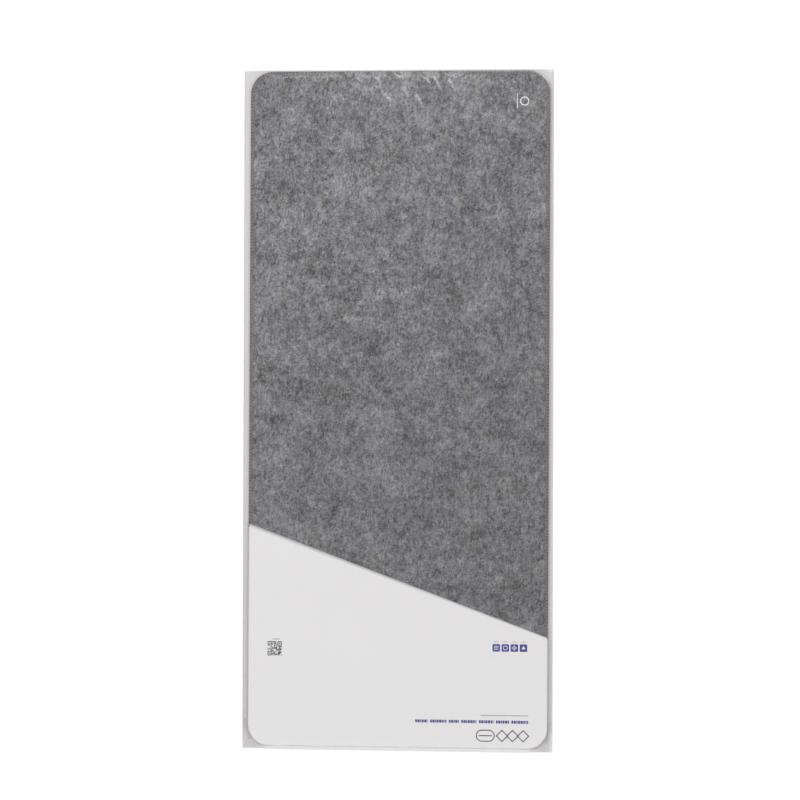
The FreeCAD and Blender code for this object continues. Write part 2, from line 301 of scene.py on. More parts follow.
class Nodes:
    """A small hand for wiring one material's nodes."""

    def __init__(self, name):
        self.material = bpy.data.materials.new(name)
        self.material.use_nodes = True
        self.tree = self.material.node_tree
        self.tree.nodes.clear()
        self.output = self.tree.nodes.new("ShaderNodeOutputMaterial")
        self.place = self.tree.nodes.new("ShaderNodeTexCoord").outputs["Object"]

    def link(self, value, socket):
        """Wires a socket in, or sets a plain value."""
        if isinstance(value, bpy.types.NodeSocket):
            self.tree.links.new(value, socket)
        else:
            socket.default_value = value

    def add(self, kind, inputs=(), **settings):
        """A new node with its inputs and settings."""
        node = self.tree.nodes.new(kind)
        for key, value in settings.items():
            setattr(node, key, value)
        for key, value in dict(inputs).items():
            self.link(value, node.inputs[key])
        return node

    def math(self, operation, a, b=0.5, c=0.0):
        """A sum done on sockets or numbers."""
        node = self.add("ShaderNodeMath", {0: a, 1: b, 2: c}, operation=operation)
        return node.outputs[0]

    def scaled(self, value, factor, offset):
        """A value times a factor, plus an offset."""
        return self.math("MULTIPLY_ADD", value, factor, offset)

    def stretch(self, scale, turn=(0, 0, 0)):
        """Coordinates turned, then scaled."""
        turned = self.add("ShaderNodeMapping", {"Vector": self.place, "Rotation": turn})
        return self.add(
            "ShaderNodeMapping", {"Vector": turned.outputs[0], "Scale": scale}
        ).outputs[0]

    def noise(self, scale, detail=2.0, rough=0.5, vector=None, distort=0.0):
        """Cloudy noise over the piece's own coordinates, or over a vector."""
        inputs = {"Scale": scale, "Detail": detail, "Roughness": rough, "Distortion": distort}
        inputs["Vector"] = self.place if vector is None else vector
        return self.add("ShaderNodeTexNoise", inputs).outputs["Fac"]

    def along(self, axis):
        """The piece's own X, Y or Z in metres."""
        return self.add("ShaderNodeSeparateXYZ", {"Vector": self.place}).outputs[axis]

    def inside_outline(self):
        """Distance in from the mat's outline, in metres."""
        beyond = []
        for axis, centre, half in zip("XY", MAT_CENTRE * MM, MAT_HALF * MM):
            away = self.math("ABSOLUTE", self.math("SUBTRACT", self.along(axis), float(centre)))
            beyond.append(self.math("SUBTRACT", away, float(half - MAT_RADIUS * MM)))
        squares = [self.math("POWER", self.math("MAXIMUM", b, 0.0), 2.0) for b in beyond]
        outer = self.math("SQRT", self.math("ADD", *squares))
        inner = self.math("MINIMUM", self.math("MAXIMUM", *beyond), 0.0)
        return self.math("SUBTRACT", MAT_RADIUS * MM, self.math("ADD", outer, inner))

    def span(self, value, start, end, most):
        """Rises from nothing to the most between two places."""
        inputs = {"Value": value, "From Min": start, "From Max": end, "To Min": 0.0, "To Max": most}
        return self.add("ShaderNodeMapRange", inputs).outputs[0]

    def ramp(self, value, *stops):
        """Colours at stops along a value."""
        node = self.add("ShaderNodeValToRGB", {"Fac": value})
        elements = node.color_ramp.elements
        while len(elements) < len(stops):
            elements.new(0.5)
        for element, (position, colour) in zip(elements, stops):
            element.position = position
            element.color = (*colour, 1.0)
        return node.outputs["Color"]

    def mix(self, factor, a, b, blend="MIX"):
        """Two colours mixed."""
        node = self.add("ShaderNodeMix", data_type="RGBA", blend_type=blend)
        self.link(factor, node.inputs["Factor"])
        for key, value in (("A", a), ("B", b)):
            socket = [s for s in node.inputs if s.name == key and s.type == "RGBA"][0]
            self.link((*value, 1.0) if isinstance(value, tuple) else value, socket)
        return [s for s in node.outputs if s.type == "RGBA"][0]

    def bump(self, height, distance, strength=1.0, under=None):
        """A normal from a height, over another normal if there is one under it."""
        inputs = {"Height": height, "Distance": distance, "Strength": strength}
        node = self.add("ShaderNodeBump", inputs)
        if under is not None:
            self.link(under, node.inputs["Normal"])
        return node.outputs[0]

    def principled(self, **inputs):
        """Ends the material in a principled shader; each argument is the name of a socket."""
        names = {key: key.replace("_", " ").title().replace("Ior", "IOR") for key in inputs}
        node = self.add("ShaderNodeBsdfPrincipled")
        for key, value in inputs.items():
            if isinstance(value, tuple) and len(value) == 3:
                value = (*value, 1.0)
            self.link(value, node.inputs[names[key]])
        self.link(node.outputs[0], self.output.inputs["Surface"])
        return self.material


def grey(level, tint=(1.0, 1.0, 1.0)):
    """A grey, or a tinted one."""
    return tuple(level * t for t in tint)


def felt_material():
    """Grey melange: pale and dark fibres in every direction, gathered in soft clouds; with painted
    light, lighter towards the closed end and the near side, and painted shade along the stitched
    rim.
    """
    n = Nodes("felt_melange")
    clouds = n.noise(16, 2.0, 0.75)
    tufts = n.noise(118, 2.0, 0.85)
    grain = n.noise(640, 2.0, 0.9)
    lengthwise = n.noise(1.0, 2.0, 0.7, n.stretch((130, 420, 300), (0, 0, 0.12)), 0.4)
    crosswise = n.noise(1.0, 2.0, 0.7, n.stretch((420, 300, 300), (0, 0, -0.4)), 0.6)
    fibres = n.math("ADD", lengthwise, crosswise)
    level = n.scaled(clouds, 0.8, n.math("MULTIPLY", tufts, 1.6))
    level = n.math("ADD", fibres, level)
    level = n.scaled(grain, 1.5, level)
    level = n.math("MULTIPLY", level, 1 / 5.9)
    shades = ((0.395, 0.012), (0.443, 0.064), (0.50, 0.176), (0.555, 0.29), (0.615, 0.45))
    melange = n.ramp(level, *((place, grey(shade)) for place, shade in shades))
    flecks = n.noise(340, 1.0, 0.5, distort=0.6)
    fleck_mask = n.ramp(flecks, (0.28, grey(0.9)), (0.36, grey(0.0)))
    colour = n.mix(fleck_mask, melange, grey(0.02))
    tint = n.noise(24, 2.0, 0.6)
    tints = n.ramp(
        tint, (0.35, (1.0, 1.0, 1.02)), (0.5, (0.98, 0.975, 1.075)), (0.65, (0.965, 0.985, 1.10))
    )
    # painted light: the felt's colour is lighter towards the closed end and the near side, and
    # darker towards the mouth and the far side
    length, width = n.along("X"), n.along("Y")
    painted_light_falloff = n.scaled(length, 1.6, n.math("ADD", width, 0.5))
    painted_light_gradient = n.ramp(
        painted_light_falloff, (0.0, grey(0.885)), (0.2, grey(0.835)), (0.5, grey(0.73)), (0.9, grey(0.715))
    )
    tinted = n.mix(1.0, n.mix(1.0, colour, tints, "MULTIPLY"), painted_light_gradient, "MULTIPLY")
    # painted shade: the felt turns dark brown in its outer 4.6 mm, under and between the rim's
    # stitches
    rim = n.span(n.inside_outline(), 4.6 * MM, 3.2 * MM, 0.62)
    tinted = n.mix(rim, tinted, (0.068, 0.058, 0.054))
    fuzz = n.bump(fibres, 0.0005, 0.8, n.bump(tufts, 0.0005, 0.6))
    return n.principled(
        base_color=tinted,
        roughness=n.scaled(tufts, 0.1, 0.86),
        normal=fuzz,
        sheen_weight=0.15,
        sheen_roughness=0.6,
        specular_ior_level=0.15,
    )


def fibre_material(name, level):
    """A loose wool-like fibre."""
    n = Nodes(name)
    shade = n.noise(900, 2.0)
    colour = n.ramp(shade, (0.3, grey(level * 0.75)), (0.7, grey(level * 1.2, (0.98, 0.98, 1.03))))
    return n.principled(base_color=colour, roughness=0.8, specular_ior_level=0.3)


def thread_material(name, level):
    """Twisted polyester thread."""
    n = Nodes(name)
    twist = n.noise(1.0, 2.0, 0.6, n.stretch((2600, 2600, 1500), (0.3, 0.2, 0.78)))
    wear = n.noise(60, 3.0)
    warm = (1.12, 1.0, 0.92)
    colour = n.ramp(
        n.scaled(wear, 0.5, n.math("MULTIPLY", twist, 0.5)),
        (0.3, grey(level * 0.6, warm)),
        (0.7, grey(level * 1.4, warm)),
    )
    return n.principled(
        base_color=colour,
        roughness=n.scaled(twist, 0.25, 0.5),
        normal=n.bump(twist, 0.0002, 0.7),
        sheen_weight=0.2,
    )


def rubber_material():
    """Black rubber with a fine woven grip pattern pressed into it."""
    n = Nodes("rubber_grip")
    ribs = []
    for turn in (0.785, -0.785):
        turned = {"Vector": n.stretch((1, 1, 1), (0, 0, turn)), "Scale": 95.0, "Distortion": 0.0}
        ribs.append(n.add("ShaderNodeTexWave", turned).outputs["Fac"])
    lattice = n.math("MAXIMUM", *ribs)
    pores = n.noise(700, 3.0, 0.6)
    dust = n.noise(22, 4.0, 0.6)
    colour = n.mix(
        n.ramp(dust, (0.45, grey(0.0)), (0.8, grey(0.35))),
        n.ramp(pores, (0.35, grey(0.012)), (0.65, grey(0.028))),
        grey(0.06),
    )
    return n.principled(
        base_color=colour,
        roughness=n.scaled(pores, 0.2, 0.62),
        normal=n.bump(lattice, 0.0003, 0.6, n.bump(pores, 0.0001, 0.5)),
        specular_ior_level=0.4,
    )


def bond_material():
    """A web of hot-melt glue, thin in places."""
    n = Nodes("bond_web")
    web = n.noise(450, 4.0, 0.7)
    colour = n.ramp(
        web, (0.35, grey(0.3, (1.0, 0.98, 0.92))), (0.65, grey(0.6, (1.0, 0.98, 0.93)))
    )
    return n.principled(base_color=colour, roughness=n.scaled(web, 0.3, 0.5))


def mark_material():
    """White transfer print, a little broken where the felt's fibres show through."""
    n = Nodes("mark_transfer")
    fibres = n.noise(1.0, 3.0, 0.6, n.stretch((500, 1500, 500), (0, 0, 0.5)))
    cover = n.ramp(fibres, (0.33, grey(0.35)), (0.47, grey(0.86)))
    return n.principled(
        base_color=cover,
        roughness=n.scaled(fibres, 0.2, 0.45),
        normal=n.bump(fibres, 0.0002, 0.6),
    )


def card_material():
    """White coated board with a faint pulp mottle."""
    n = Nodes("coated_board")
    pulp = n.noise(140, 4.0, 0.6)
    soft = n.noise(9, 2.0)
    colour = n.ramp(
        n.scaled(soft, 0.6, n.math("MULTIPLY", pulp, 0.4)),
        (0.3, grey(0.72)),
        (0.7, grey(0.74)),
    )
    return n.principled(
        base_color=colour,
        roughness=n.scaled(pulp, 0.12, 0.34),
        normal=n.bump(pulp, 0.00003, 0.4),
        specular_ior_level=0.4,
    )


def ink_material(name, colour):
    """Offset print: even ink with a fine screen."""
    n = Nodes(name)
    screen = n.noise(2200, 2.0, 0.6)
    pale = tuple(c * 1.25 + 0.01 for c in colour)
    shade = n.ramp(screen, (0.35, colour), (0.7, pale))
    return n.principled(base_color=shade, roughness=n.scaled(screen, 0.1, 0.35))


def film_clouds(n, amount):
    """Adds to the film's haze where it is loose: at its ends and sides and by the mat's corners;
    the whiter film at the mouth, by the corners and along the sides is also painted light that
    lifts film lying over the mat's shade.
    """
    length, width = n.along("X"), n.along("Y")
    aside = n.math("ABSOLUTE", n.math("SUBTRACT", width, float(MAT_CENTRE[1] * MM)))
    at_corner = n.span(aside, 172 * MM, 192 * MM, 1.0)
    # painted light: a whiter strip of film just past the card's front edge, over the shaded desk
    # below
    mid_mouth = n.span(length, (CREASE_X - 5.4) * MM, (CREASE_X - 4.2) * MM, 0.45)
    mid_mouth = n.math("MULTIPLY", mid_mouth, n.math("SUBTRACT", 1.0, at_corner))
    corner = n.span(length, (CREASE_X - 34.0) * MM, (CREASE_X - 22.0) * MM, 0.14)
    corner = n.math("MULTIPLY", corner, n.span(n.inside_outline(), 0.0, -2.0 * MM, 1.0))
    # a slightly hazier, lighter patch round the middle of the closed end
    haze_spot = (np.array([*on_mat(-440, -5), FELT_TOP]) * MM).tolist()
    from_haze_spot = n.add(
        "ShaderNodeVectorMath", {0: n.place, 1: haze_spot}, operation="DISTANCE"
    ).outputs["Value"]
    amount = n.math("ADD", n.math("ADD", amount, mid_mouth), corner)
    for value, start, end, most in (
        (length, BAG_CLOSED_X + 2.0, BAG_CLOSED_X, 0.5),
        (length, CREASE_X - 32.0, CREASE_X - 6.0, 0.08),
        (from_haze_spot, 80.0, 15.0, 0.035),
        # painted light: more haze along the sides, most on the far side, lightens the margins in
        # the mat's shade
        (width, MAT_NEAR_Y, BAG_NEAR_Y, 0.05),
        (width, MAT_FAR_Y, BAG_FAR_Y, 0.3),
    ):
        amount = n.math("ADD", amount, n.span(value, start * MM, end * MM, most))
    return amount


def film_material(name, haze, tint, rough, cloudy=False):
    """Clear film: see-through, glossier where it is seen aslant, and a trace of haze."""
    n = Nodes(name)
    clouding = n.noise(35, 4.0, 0.6)
    fine = n.noise(420, 3.0, 0.6)
    roughness = n.scaled(clouding, 0.12, rough)
    gloss = n.add("ShaderNodeBsdfGlossy", {"Roughness": roughness})
    clear = n.add("ShaderNodeBsdfTransparent", {"Color": (*tint, 1.0)})
    facing = n.add("ShaderNodeLayerWeight", {"Blend": 0.5}).outputs["Facing"]
    mirror = n.scaled(n.math("POWER", facing, 5.0), 0.96, 0.04)
    both_faces = n.math("MINIMUM", n.math("MULTIPLY", mirror, 1.7), 0.9)
    mixed = {0: both_faces, 1: clear.outputs[0], 2: gloss.outputs[0]}
    seen = n.add("ShaderNodeMixShader", mixed)
    milky = n.add("ShaderNodeBsdfDiffuse", {"Color": (0.93, 0.92, 0.92, 1.0)})
    amount = n.math("MULTIPLY", n.scaled(fine, 0.9, clouding), haze)
    if cloudy:
        amount = film_clouds(n, amount)
    film = n.add("ShaderNodeMixShader", {0: amount, 1: seen.outputs[0], 2: milky.outputs[0]})
    n.link(film.outputs[0], n.output.inputs["Surface"])
    return n.material


def floor_material():
    """Matt white paper."""
    n = Nodes("studio_floor")
    soft = n.noise(3, 2.0)
    return n.principled(
        base_color=n.ramp(soft, (0.3, grey(0.89)), (0.7, grey(0.90))), roughness=0.9
    )


# ---- the mat ----

RIM_INSETS = (0.0, 0.5, 1.2, 2.0, 2.8, 3.6, 4.2, 4.8, 5.6, 6.8, 8.5)
STITCH_BAND = 4.4  # the needle's row, in from the mat's edge
STITCH_PITCH = 4.2


def core_sheet(spacing):
    """A grid over the felt's and the rubber's shared outline, with each point's distance in."""
    half = MAT_HALF - CORE_INSET
    lines = [grid_lines(side, spacing, RIM_INSETS) for side in half]
    x, y = np.meshgrid(*lines, indexing="ij")
    x, y, inset = round_corners(x, y, half, MAT_RADIUS - CORE_INSET)
    return x + MAT_CENTRE[0], y + MAT_CENTRE[1], inset


def slab(name, x, y, top, edge_heights, bottom):
    """A closed slab: a shaped grid on top, straight down its edge, and flat underneath."""
    surface = grid_points(x, y, top)
    faces = grid_faces(*x.shape)
    rim = border(*x.shape)
    points, above, start = [surface], rim, len(surface)
    for height in (*edge_heights, bottom):
        ring = surface[rim].copy()
        ring[:, 2] = height
        points.append(ring)
        below = range(start, start + len(rim))
        faces += loop_faces(above, below)
        above = below
        start += len(rim)
    faces.append(tuple(reversed(above)))
    return make_object(name, np.concatenate(points), faces)


def make_felt():
    """The felt, fuzzy on top, pulled down where it is sewn and round at its edge."""
    x, y, inset = core_sheet(2.35)
    fuzz = 0.10 * smooth_noise(x, y, 9.0, 1) + 0.06 * smooth_noise(x, y, 4.5, 2)
    fuzz += rng.uniform(-0.03, 0.03, x.shape)
    puffed = 1 - np.exp(-inset / 2.2)
    sewn = 1 - smoothstep(STITCH_BAND - 0.4, STITCH_BAND + 1.6, inset)
    row = np.exp(-(((inset - STITCH_BAND) / 0.55) ** 2))
    fuzzy_top = FELT_TOP - 0.12 + fuzz * (1 - 0.6 * sewn)
    top = fuzzy_top - 0.34 * sewn - 0.18 * row - 0.65 * (1 - puffed)
    felt = slab("felt_sheet", x, y, top, (FELT_TOP - 1.1, FELT_TOP - 1.6), FELT_BOTTOM)
    felt.data.materials.append(felt_material())
    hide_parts("felt_top")
    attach(felt, "mat")


def make_loose_fibres():
    """Fibres that stand out of the felt's face, pale and dark."""
    materials = [fibre_material("pale_fibre", 0.42), fibre_material("dark_fibre", 0.03)]
    half = MAT_HALF - CORE_INSET - 6.0
    parts, kinds = [], []
    fibre_count, steps = 3200, 5
    for _ in range(fibre_count):
        start = rng.uniform(-1, 1, 2) * half + MAT_CENTRE
        heading = rng.uniform(0, 2 * math.pi)
        bend = rng.normal(0, 0.35)
        reach = rng.uniform(2.5, 8.0) / steps
        lift = rng.uniform(0.0, 0.12)
        path = [(*start, FELT_TOP - 0.12)]
        for step in range(1, steps + 1):
            heading += bend
            x = path[-1][0] + reach * math.cos(heading)
            y = path[-1][1] + reach * math.sin(heading)
            arch = math.sin(math.pi * step / steps)
            path.append((x, y, FELT_TOP - 0.1 + lift * arch))
        taper = rng.uniform(0.025, 0.045) * np.array([0.4, 1, 1, 1, 1, 0.4])
        part = tube(path, taper, 3, closed=False)
        parts.append(part)
        kinds += [int(rng.random() < 0.4)] * len(part[1])
    fibres = make_object("felt_loose_fibres", *join_parts(parts))
    for material in materials:
        fibres.data.materials.append(material)
    fibres.data.polygons.foreach_set("material_index", kinds)
    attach(fibres, "mat")


def make_rubber():
    """The backing, with its edge pulled up under the stitches."""
    x, y, inset = core_sheet(3.0)
    sewn = 1 - smoothstep(STITCH_BAND - 0.4, STITCH_BAND + 1.0, inset)
    ripple = 0.03 * smooth_noise(x, y, 12.0, 3)
    face = MAT_BOTTOM + 0.04 + 0.34 * sewn + ripple * (1 - sewn)
    surface = grid_points(x, y, face)
    rim = border(*x.shape)
    ring = surface[rim].copy()
    ring[:, 2] = RUBBER_TOP
    upper = range(len(surface), len(surface) + len(rim))
    faces = [tuple(reversed(f)) for f in grid_faces(*x.shape)]
    faces += [*loop_faces(rim, upper), tuple(upper)]
    rubber = make_object("rubber_backing", np.concatenate((surface, ring)), faces)
    rubber.data.materials.append(rubber_material())
    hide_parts("rubber_base")
    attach(rubber, "mat")


def rim_path(distance, inset):
    """Points at distances round the mat's outline, set in from it."""
    hx, hy = MAT_HALF
    r = MAT_RADIUS
    straight = (2 * (hy - r), 2 * (hx - r)) * 2
    arc = math.pi * r / 2
    total = sum(straight) + 4 * arc
    s = np.mod(distance, total)
    x, y = np.zeros_like(s), np.zeros_like(s)
    corners = ((hx - r, hy - r), (r - hx, hy - r), (r - hx, r - hy), (hx - r, r - hy))
    begin = 0.0
    for side, (cx, cy) in enumerate(corners):
        facing = side * math.pi / 2
        cos, sin = math.cos(facing), math.sin(facing)
        on_side = (s >= begin) & (s < begin + straight[side])
        back = straight[side] - (s - begin)
        x = np.where(on_side, cx + cos * (r - inset) + sin * back, x)
        y = np.where(on_side, cy + sin * (r - inset) - cos * back, y)
        begin += straight[side]
        on_arc = (s >= begin) & (s < begin + arc)
        angle = facing + (s - begin) / r
        x = np.where(on_arc, cx + (r - inset) * np.cos(angle), x)
        y = np.where(on_arc, cy + (r - inset) * np.sin(angle), y)
        begin += arc
    return x + MAT_CENTRE[0], y + MAT_CENTRE[1]


RIM_LENGTH = 4 * (MAT_HALF.sum() - 2 * MAT_RADIUS) + 2 * math.pi * MAT_RADIUS
STITCHES = int(round(RIM_LENGTH / STITCH_PITCH))
STITCH_STEP = RIM_LENGTH / STITCHES
# one looper stitch, out to the mat's edge and back the same way: share of the step, distance in
# from the edge, and height on the face (None on the edge itself)
LOOPER_OUT = (
    (0.0, 4.45, -0.28),
    (0.26, 4.2, -0.12),
    (0.36, 3.5, 0.02),
    (0.42, 1.9, -0.08),
    (0.46, 0.45, -0.45),
    (0.5, 0.12, None),
)
LOOPER_BACK = tuple((1 - share, inset, lift) for share, inset, lift in LOOPER_OUT[-2:0:-1])
LOOPER_SHAPE = LOOPER_OUT + LOOPER_BACK


def looper_path(face_height, edge_height, up, seed):
    """A looper thread: from each needle hole out over the rim's edge, and back to the next hole."""
    source = np.random.default_rng(seed)
    size = (STITCHES, len(LOOPER_SHAPE))
    jitter = source.normal(0, 0.05, (STITCHES, 1)) + source.normal(0, 0.008, size)
    wobble = source.normal(0, 0.09, size)
    shares, insets, lifts = zip(*LOOPER_SHAPE)
    starts = np.arange(STITCHES)[:, None] * STITCH_STEP
    distance = (starts + (np.array(shares)[None, :] + jitter) * STITCH_STEP).ravel()
    inset = np.clip(np.tile(insets, STITCHES) + wobble.ravel() * 0.8, 0.1, 4.7)
    heights = [edge_height if lift is None else face_height + up * lift for lift in lifts]
    z = np.tile(heights, STITCHES) + wobble.ravel() * 0.12
    x, y = rim_path(distance, inset)
    return np.column_stack((x, y, z))


def make_stitching():
    """The overlocked rim: two looper threads and the needle thread that pins them."""
    thickness = 0.3
    looper = thread_material("looper_thread", 0.24)
    for side, face, up, seed in (("upper", FELT_TOP, 1, 11), ("lower", MAT_BOTTOM, -1, 12)):
        path = looper_path(face - up * (thickness + 0.02), MAT_MIDDLE + up * 0.2, up, seed)
        loops = make_object(f"{side}_looper_stitches", *tube(path, thickness, 5))
        loops.data.materials.append(looper)
        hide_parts(f"{side}_looper_thread")
        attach(loops, "mat")
    share = np.array([0.0, 0.18, 0.5, 0.82])
    sink = np.array([-0.45, -0.08, 0.0, -0.08])
    starts = np.arange(STITCHES)[:, None] * STITCH_STEP
    distance = (starts + share[None, :] * STITCH_STEP).ravel()
    inset = STITCH_BAND + 0.12 + rng.normal(0, 0.05, len(distance))
    x, y = rim_path(distance, inset)
    z = FELT_TOP - 0.2 + np.tile(sink, STITCHES)
    needle = make_object("needle_stitches", *tube(np.column_stack((x, y, z)), 0.2, 5))
    needle.data.materials.append(thread_material("needle_thread", 0.12))
    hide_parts("needle_thread")
    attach(needle, "mat")


# ---- the insert card ----

CARD_FRONT_X = card_high[0]
CARD_BACK_NEAR_X = card_low[0]
CARD_BACK_FAR_X = CARD_FRONT_X - CARD_FAR_SIDE
CARD_BOTTOM = card_low[2]
CARD_TOP = card_high[2]
CARD_CENTRE_Y = (card_low[1] + card_high[1]) / 2
CARD_HALF_Y = (card_high[1] - card_low[1]) / 2
CARD_SLANT = (CARD_BACK_FAR_X - CARD_BACK_NEAR_X) / (2 * CARD_HALF_Y)


def card_back_x(y):
    """The slanted back edge's X at one Y."""
    return CARD_BACK_NEAR_X + (y - card_low[1]) * CARD_SLANT


def card_lift(x, y):
    """How far the board's face bows from flat."""
    return 0.02 * smooth_noise(x, y, 120.0, 21)


def card_plan(inset):
    """Grid over the card's outline drawn in by an inset: slanted back, rounded front corners."""
    half_y = CARD_HALF_Y - inset
    radius = CARD_RADIUS - inset
    front = CARD_FRONT_X - inset
    block = np.linspace(0, radius, 13)
    middle = np.linspace(-(half_y - radius), half_y - radius, 58)
    lines_y = np.concatenate((-half_y + block[:-1], middle, half_y - block[::-1][1:]))
    share = np.append(np.linspace(0, 1, 40), np.ones(12))[:, None]
    ahead = np.append(np.zeros(40), block[1:])[:, None]
    y = np.tile(lines_y, (len(share), 1))
    slanted = card_back_x(y + CARD_CENTRE_Y) + inset * math.sqrt(1 + CARD_SLANT**2)
    x = slanted * (1 - share) + (front - radius) * share + ahead
    a = (x - (front - radius)) / radius
    b = (np.abs(y) - (half_y - radius)) / radius
    corner, largest, angle = quarter_disc(a, b)
    round_x = front - radius + radius * largest * np.cos(angle)
    round_y = np.sign(y) * (half_y - radius + radius * largest * np.sin(angle))
    return np.where(corner, round_x, x), np.where(corner, round_y, y) + CARD_CENTRE_Y


def make_card():
    """Board with softened cut edges, bowed a little."""
    bevel = 0.07
    heights = (CARD_TOP, CARD_TOP - bevel, CARD_BOTTOM + bevel, CARD_BOTTOM)
    sheets = []
    for inset, height in zip((bevel, 0.0, 0.0, bevel), heights):
        x, y = card_plan(inset)
        sheets.append((x, y, height + card_lift(x, y)))
    rows, columns = sheets[0][0].shape
    rim = border(rows, columns)
    count = len(rim)
    top, *edges, bottom = [grid_points(*sheet) for sheet in sheets]
    points = np.concatenate((top, *(edge[rim] for edge in edges), bottom))
    start = len(top)
    bottom_start = start + 2 * count
    loops = [
        rim,
        range(start, start + count),
        range(start + count, bottom_start),
        [bottom_start + i for i in rim],
    ]
    faces = [tuple(f) for f in grid_faces(rows, columns)]
    faces += [tuple(bottom_start + i for i in reversed(f)) for f in grid_faces(rows, columns)]
    for above, below in zip(loops, loops[1:]):
        faces += loop_faces(above, below)
    card = make_object("insert_board", points, faces)
    card.data.materials.append(card_material())
    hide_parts("insert_card")
    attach(card, "card")


def print_piece(name, parts, material):
    """Ink shapes drawn flat, then laid on the bowed card."""
    points, faces = join_parts(parts)
    points[:, 2] += card_lift(points[:, 0], points[:, 1])
    piece = make_object(name, points, faces, smooth=False)
    piece.data.materials.append(material)
    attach(piece, "card")


INK_LOW = CARD_TOP + 0.002
INK_HIGH = CARD_TOP + 0.014
INK_OVER = CARD_TOP + 0.022
# where each item is printed, from the mat's centre
CODE_PLACE, CODE_SIDE, CODE_CELLS = (320.5, -163.7), 19.1, 15
BADGES_X, BADGES_Y = 316.2, (131.5, 143.5, 155.5, 167.5)
SIGN_X = 432.7
HEADLINE_STARTS = (24.4, 44.2, 69.0, 85.5, 109.0, 131.5, 152.0)
HEADLINE_ENDS = (41.0, 66.0, 82.5, 106.0, 128.5, 149.0, 174.0)


def bar_row(x, y, end, height, widths, gap):
    """A row of plain bars of uneven width, standing for a line of print."""
    parts = []
    while y < end - 0.4:
        width = min(widths[len(parts) % len(widths)], end - y)
        outline = rounded_box(*on_mat(x, y + width / 2), height, width, min(width, height) / 4, 2)
        parts.append(plate(outline, INK_LOW, INK_HIGH))
        y += width + gap
    return parts


def print_code(ink):
    """A square of random cells with three plain corner frames; it encodes nothing."""
    parts = []
    cell = CODE_SIDE / CODE_CELLS
    left, top = CODE_PLACE[0] - CODE_SIDE / 2, CODE_PLACE[1] - CODE_SIDE / 2
    filled = np.random.default_rng(5).random((CODE_CELLS, CODE_CELLS)) < 0.5
    for i in range(CODE_CELLS):
        for j in range(CODE_CELLS):
            in_frame = (i < 5 or i > 9) and (j < 5 or j > 9) and not (i > 9 and j > 9)
            if filled[i, j] and not in_frame:
                cx, cy = on_mat(left + (i + 0.5) * cell, top + (j + 0.5) * cell)
                parts.append(plate(rounded_box(cx, cy, cell, cell, 0.08, 1), INK_LOW, INK_HIGH))
    for i, j in ((2.3, 2.3), (2.3, 12.7), (12.7, 2.3)):
        cx, cy = on_mat(left + i * cell, top + j * cell)
        outer = rounded_box(cx, cy, 4.6 * cell, 4.6 * cell, 0.9, 3)
        inner = rounded_box(cx, cy, 2.8 * cell, 2.8 * cell, 0.5, 3)
        parts.append(band(outer, inner, INK_LOW, INK_HIGH))
        parts.append(plate(polygon(cx, cy, 0.8 * cell, 12), INK_LOW, INK_HIGH))
    print_piece("print_cell_block", parts, ink)


def print_badges(ink, white):
    """Four plain badges: bars, a ring, a dot in a lozenge, and a triangle."""
    badges, shapes = [], []
    over = (INK_HIGH, INK_OVER)
    centres = [on_mat(BADGES_X, y) for y in BADGES_Y]
    for cx, cy in centres:
        badges.append(plate(rounded_box(cx, cy, 10.0, 10.0, 1.6), INK_LOW, INK_HIGH))
    cx, cy = centres[0]
    for shift in (-2.0, 0.0, 2.0):
        shapes.append(plate(rounded_box(cx + shift, cy, 0.8, 6.0, 0.35, 3), *over))
    cx, cy = centres[1]
    shapes.append(band(polygon(cx, cy, 3.1, 28), polygon(cx, cy, 2.3, 28), *over))
    cx, cy = centres[2]
    shapes.append(band(polygon(cx, cy, 3.4, 4), polygon(cx, cy, 2.3, 4), *over))
    shapes.append(plate(polygon(cx, cy, 0.9, 12), *over))
    shapes.append(plate(polygon(*centres[3], 3.1, 3, math.pi), *over))
    print_piece("print_badges", badges, ink)
    print_piece("print_badge_shapes", shapes, white)


def print_rows(ink, bold_ink):
    """Rows of bars where the small print is, and bolder ones, grouped as words, as a headline."""
    small = bar_row(308.0, -166.5, -156.9, 1.2, (1.6, 2.3, 1.1), 0.5)
    for y in BADGES_Y:
        small += bar_row(308.1, y - 3.6, y + 3.6, 0.8, (1.4, 2.2, 0.9), 0.45)
    small += bar_row(405.8, 111.0, 174.3, 1.2, (2.1, 3.4, 1.2, 2.7, 1.8), 0.55)
    print_piece("print_small_rows", small, ink)
    headline = []
    for start, end in zip(HEADLINE_STARTS, HEADLINE_ENDS):
        headline += bar_row(414.3, start, end, 4.1, (2.5, 2.9, 1.5, 2.7, 3.1, 2.2, 0.9), 0.6)
    print_piece("print_headline_row", headline, bold_ink)


def print_sign(ink):
    """A plain sign of thin lines: three lozenges beside a long rounded frame."""
    parts = []
    for y in (167.5, 153.5, 139.5):
        cx, cy = on_mat(SIGN_X, y)
        parts.append(band(polygon(cx, cy, 8.4, 4), polygon(cx, cy, 6.4, 4), INK_LOW, INK_HIGH))
    cx, cy = on_mat(SIGN_X, 117.5)
    outer = rounded_box(cx, cy, 16.0, 25.0, 7.9, 6)
    inner = rounded_box(cx, cy, 13.2, 22.2, 6.5, 6)
    parts.append(band(outer, inner, INK_LOW, INK_HIGH))
    parts += bar_row(SIGN_X, 108.5, 126.5, 1.4, (18.0,), 1.0)
    print_piece("print_plain_sign", parts, ink)


def make_print():
    """What is printed on the card, made of plain shapes only."""
    blue = ink_material("blue_ink", (0.008, 0.022, 0.22))
    dark = ink_material("dark_ink", (0.03, 0.03, 0.034))
    print_code(dark)
    print_badges(blue, ink_material("knocked_out_white", (0.66, 0.66, 0.66)))
    print_rows(ink_material("grey_ink", (0.2, 0.2, 0.205)), blue)
    print_sign(dark)


# ---- the bag ----

